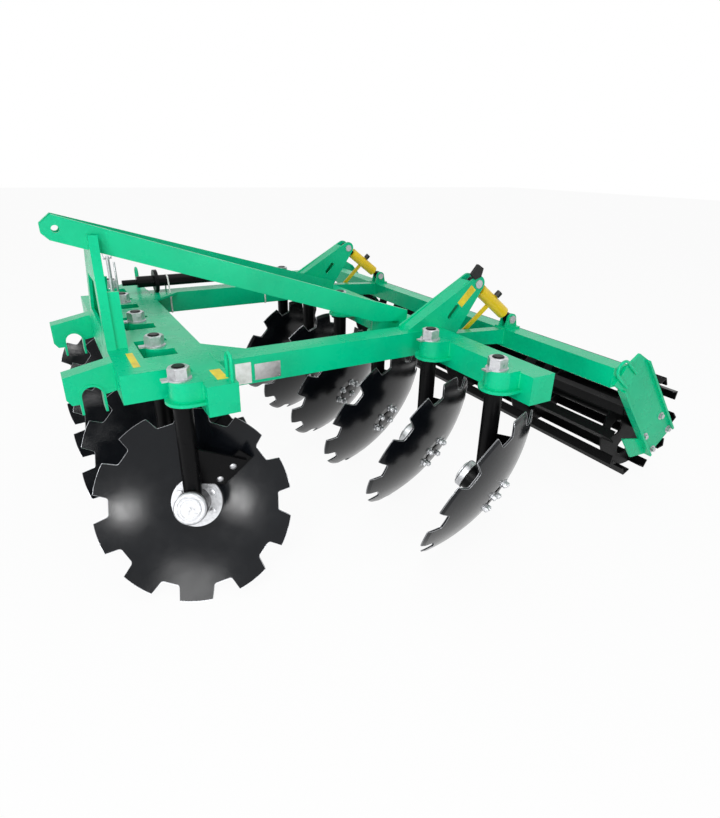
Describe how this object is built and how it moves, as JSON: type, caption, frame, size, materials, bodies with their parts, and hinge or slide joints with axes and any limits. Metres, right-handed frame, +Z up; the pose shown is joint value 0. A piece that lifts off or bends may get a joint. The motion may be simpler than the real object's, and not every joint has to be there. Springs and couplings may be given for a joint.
{
  "type": "disc harrow",
  "caption": "Mounted disc harrow: two rows of notched dished discs on single posts, box frame, three-point mast, and a cage roller set by two turnbuckles.",
  "frame": {"origin": "centre of the machine's bounding box, on the ground the discs stand on", "axes": "+X forward to the tractor, +Y to the machine's left side, +Z up"},
  "size_m": [2.427, 2.4964, 1.1949],
  "materials": {
    "green_paint": "gloss paint",
    "black_paint": "gloss paint",
    "disc_steel": "dark lacquered steel, ground edge",
    "zinc_steel": "zinc plated",
    "yellow_paint": "gloss paint",
    "knob_plastic": "moulded",
    "buffer_rubber": "matt"
  },
  "bodies": {
    "frame": {"bracket_buffer": "buffer_rubber", "bracket_pins": "zinc_steel", "disc_posts": "black_paint", "frame_gussets": "green_paint", "frame_loops": "green_paint", "front_beam_main": "green_paint", "front_beam_nose": "green_paint", "front_beam_webs": "green_paint", "hitch_axle": "black_paint", "hitch_hoods": "green_paint", "hub_caps": "zinc_steel", "mast": "green_paint", "post_nuts": "zinc_steel", "post_sleeves": "green_paint", "rear_beam": "green_paint", "roller_brackets": "green_paint", "scrapers": "black_paint", "side_beams": "green_paint", "spare_pin": "zinc_steel", "top_link_plate_left": "green_paint", "top_link_plate_right": "green_paint"},
    "roller_frame": {"roller_cross_tube": "green_paint", "roller_arms": "green_paint", "roller_end_plates": "green_paint", "roller_lugs": "green_paint", "lug_pins": "zinc_steel", "roller_loops": "green_paint", "roller_bearings": "black_paint"},
    "roller": {"roller": "black_paint"},
    "disc_front_1": {"disc_front_1": "disc_steel", "hub_front_1": "zinc_steel"},
    "disc_front_2": {"disc_front_2": "disc_steel", "hub_front_2": "zinc_steel"},
    "disc_front_3": {"disc_front_3": "disc_steel", "hub_front_3": "zinc_steel"},
    "disc_front_4": {"disc_front_4": "disc_steel", "hub_front_4": "zinc_steel"},
    "disc_front_5": {"disc_front_5": "disc_steel", "hub_front_5": "zinc_steel"},
    "disc_rear_1": {"disc_rear_1": "disc_steel", "hub_rear_1": "zinc_steel"},
    "disc_rear_2": {"disc_rear_2": "disc_steel", "hub_rear_2": "zinc_steel"},
    "disc_rear_3": {"disc_rear_3": "disc_steel", "hub_rear_3": "zinc_steel"},
    "disc_rear_4": {"disc_rear_4": "disc_steel", "hub_rear_4": "zinc_steel"},
    "disc_rear_5": {"disc_rear_5": "disc_steel", "hub_rear_5": "zinc_steel"},
    "disc_rear_6": {"disc_rear_6": "disc_steel", "hub_rear_6": "zinc_steel"},
    "turnbuckle_eye_left": {"turnbuckle_eye_left": "black_paint"},
    "turnbuckle_left": {"turnbuckle_barrel_left": "yellow_paint", "turnbuckle_knob_left": "knob_plastic"},
    "turnbuckle_rod_left": {"turnbuckle_rod_left": "black_paint"},
    "turnbuckle_eye_right": {"turnbuckle_eye_right": "black_paint"},
    "turnbuckle_right": {"turnbuckle_barrel_right": "yellow_paint", "turnbuckle_knob_right": "knob_plastic"},
    "turnbuckle_rod_right": {"turnbuckle_rod_right": "black_paint"}
  },
  "joints": [
    {"name": "disc_front_1_spin", "type": "hinge", "parent": "frame", "child": "disc_front_1", "pos_m": [0.8975, 0.71334, 0.29754], "axis": [0.3719, 0.8472, 0.3795], "continuous": true},
    {"name": "disc_front_2_spin", "type": "hinge", "parent": "frame", "child": "disc_front_2", "pos_m": [0.8975, 0.33834, 0.29754], "axis": [0.3719, 0.8472, 0.3795], "continuous": true},
    {"name": "disc_front_3_spin", "type": "hinge", "parent": "frame", "child": "disc_front_3", "pos_m": [0.8975, -0.03666, 0.29754], "axis": [0.3719, 0.8472, 0.3795], "continuous": true},
    {"name": "disc_front_4_spin", "type": "hinge", "parent": "frame", "child": "disc_front_4", "pos_m": [0.8975, -0.41166, 0.29754], "axis": [0.3719, 0.8472, 0.3795], "continuous": true},
    {"name": "disc_front_5_spin", "type": "hinge", "parent": "frame", "child": "disc_front_5", "pos_m": [0.8975, -0.78666, 0.29754], "axis": [0.3719, 0.8472, 0.3795], "continuous": true},
    {"name": "disc_rear_1_spin", "type": "hinge", "parent": "frame", "child": "disc_rear_1", "pos_m": [-0.0615, 1.08834, 0.29754], "axis": [0.3719, -0.8472, 0.3795], "continuous": true},
    {"name": "disc_rear_2_spin", "type": "hinge", "parent": "frame", "child": "disc_rear_2", "pos_m": [-0.0615, 0.71334, 0.29754], "axis": [0.3719, -0.8472, 0.3795], "continuous": true},
    {"name": "disc_rear_3_spin", "type": "hinge", "parent": "frame", "child": "disc_rear_3", "pos_m": [-0.0615, 0.33834, 0.29754], "axis": [0.3719, -0.8472, 0.3795], "continuous": true},
    {"name": "disc_rear_4_spin", "type": "hinge", "parent": "frame", "child": "disc_rear_4", "pos_m": [-0.0615, -0.03666, 0.29754], "axis": [0.3719, -0.8472, 0.3795], "continuous": true},
    {"name": "disc_rear_5_spin", "type": "hinge", "parent": "frame", "child": "disc_rear_5", "pos_m": [-0.0615, -0.41166, 0.29754], "axis": [0.3719, -0.8472, 0.3795], "continuous": true},
    {"name": "disc_rear_6_spin", "type": "hinge", "parent": "frame", "child": "disc_rear_6", "pos_m": [-0.0615, -0.78666, 0.29754], "axis": [0.3719, -0.8472, 0.3795], "continuous": true},
    {"name": "roller_frame_swing", "type": "hinge", "parent": "frame", "child": "roller_frame", "pos_m": [-0.2695, -0.03666, 0.683], "axis": [0, 1, 0], "range_deg": [-8, 8]},
    {"name": "roller_spin", "type": "hinge", "parent": "roller_frame", "child": "roller", "pos_m": [-0.9795, -0.03666, 0.337], "axis": [0, 1, 0], "continuous": true},
    {"name": "turnbuckle_swing_left", "type": "hinge", "parent": "frame", "child": "turnbuckle_eye_left", "pos_m": [-0.4005, 0.53984, 0.918], "axis": [0, 1, 0], "range_deg": [-7.3, 7.3]},
    {"name": "turnbuckle_upper_screw_left", "type": "slide", "parent": "turnbuckle_eye_left", "child": "turnbuckle_left", "axis": [-0.7945, 0, -0.6073], "range_m": [-0.019, 0.019]},
    {"name": "turnbuckle_lower_screw_left", "type": "slide", "parent": "turnbuckle_left", "child": "turnbuckle_rod_left", "axis": [-0.7945, 0, -0.6073], "range_m": [-0.019, 0.019]},
    {"name": "turnbuckle_swing_right", "type": "hinge", "parent": "frame", "child": "turnbuckle_eye_right", "pos_m": [-0.4005, -0.61316, 0.918], "axis": [0, 1, 0], "range_deg": [-7.3, 7.3]},
    {"name": "turnbuckle_upper_screw_right", "type": "slide", "parent": "turnbuckle_eye_right", "child": "turnbuckle_right", "axis": [-0.7945, 0, -0.6073], "range_m": [-0.019, 0.019]},
    {"name": "turnbuckle_lower_screw_right", "type": "slide", "parent": "turnbuckle_right", "child": "turnbuckle_rod_right", "axis": [-0.7945, 0, -0.6073], "range_m": [-0.019, 0.019]}
  ],
  "couplings": [
    {"joint": "turnbuckle_swing_left", "follows": "roller_frame_swing", "ratio": 0.87903},
    {"joint": "turnbuckle_upper_screw_left", "follows": "roller_frame_swing", "m_per_rad": -0.13284},
    {"joint": "turnbuckle_lower_screw_left", "follows": "roller_frame_swing", "m_per_rad": -0.13284},
    {"joint": "turnbuckle_swing_right", "follows": "roller_frame_swing", "ratio": 0.87903},
    {"joint": "turnbuckle_upper_screw_right", "follows": "roller_frame_swing", "m_per_rad": -0.13284},
    {"joint": "turnbuckle_lower_screw_right", "follows": "roller_frame_swing", "m_per_rad": -0.13284}
  ]
}
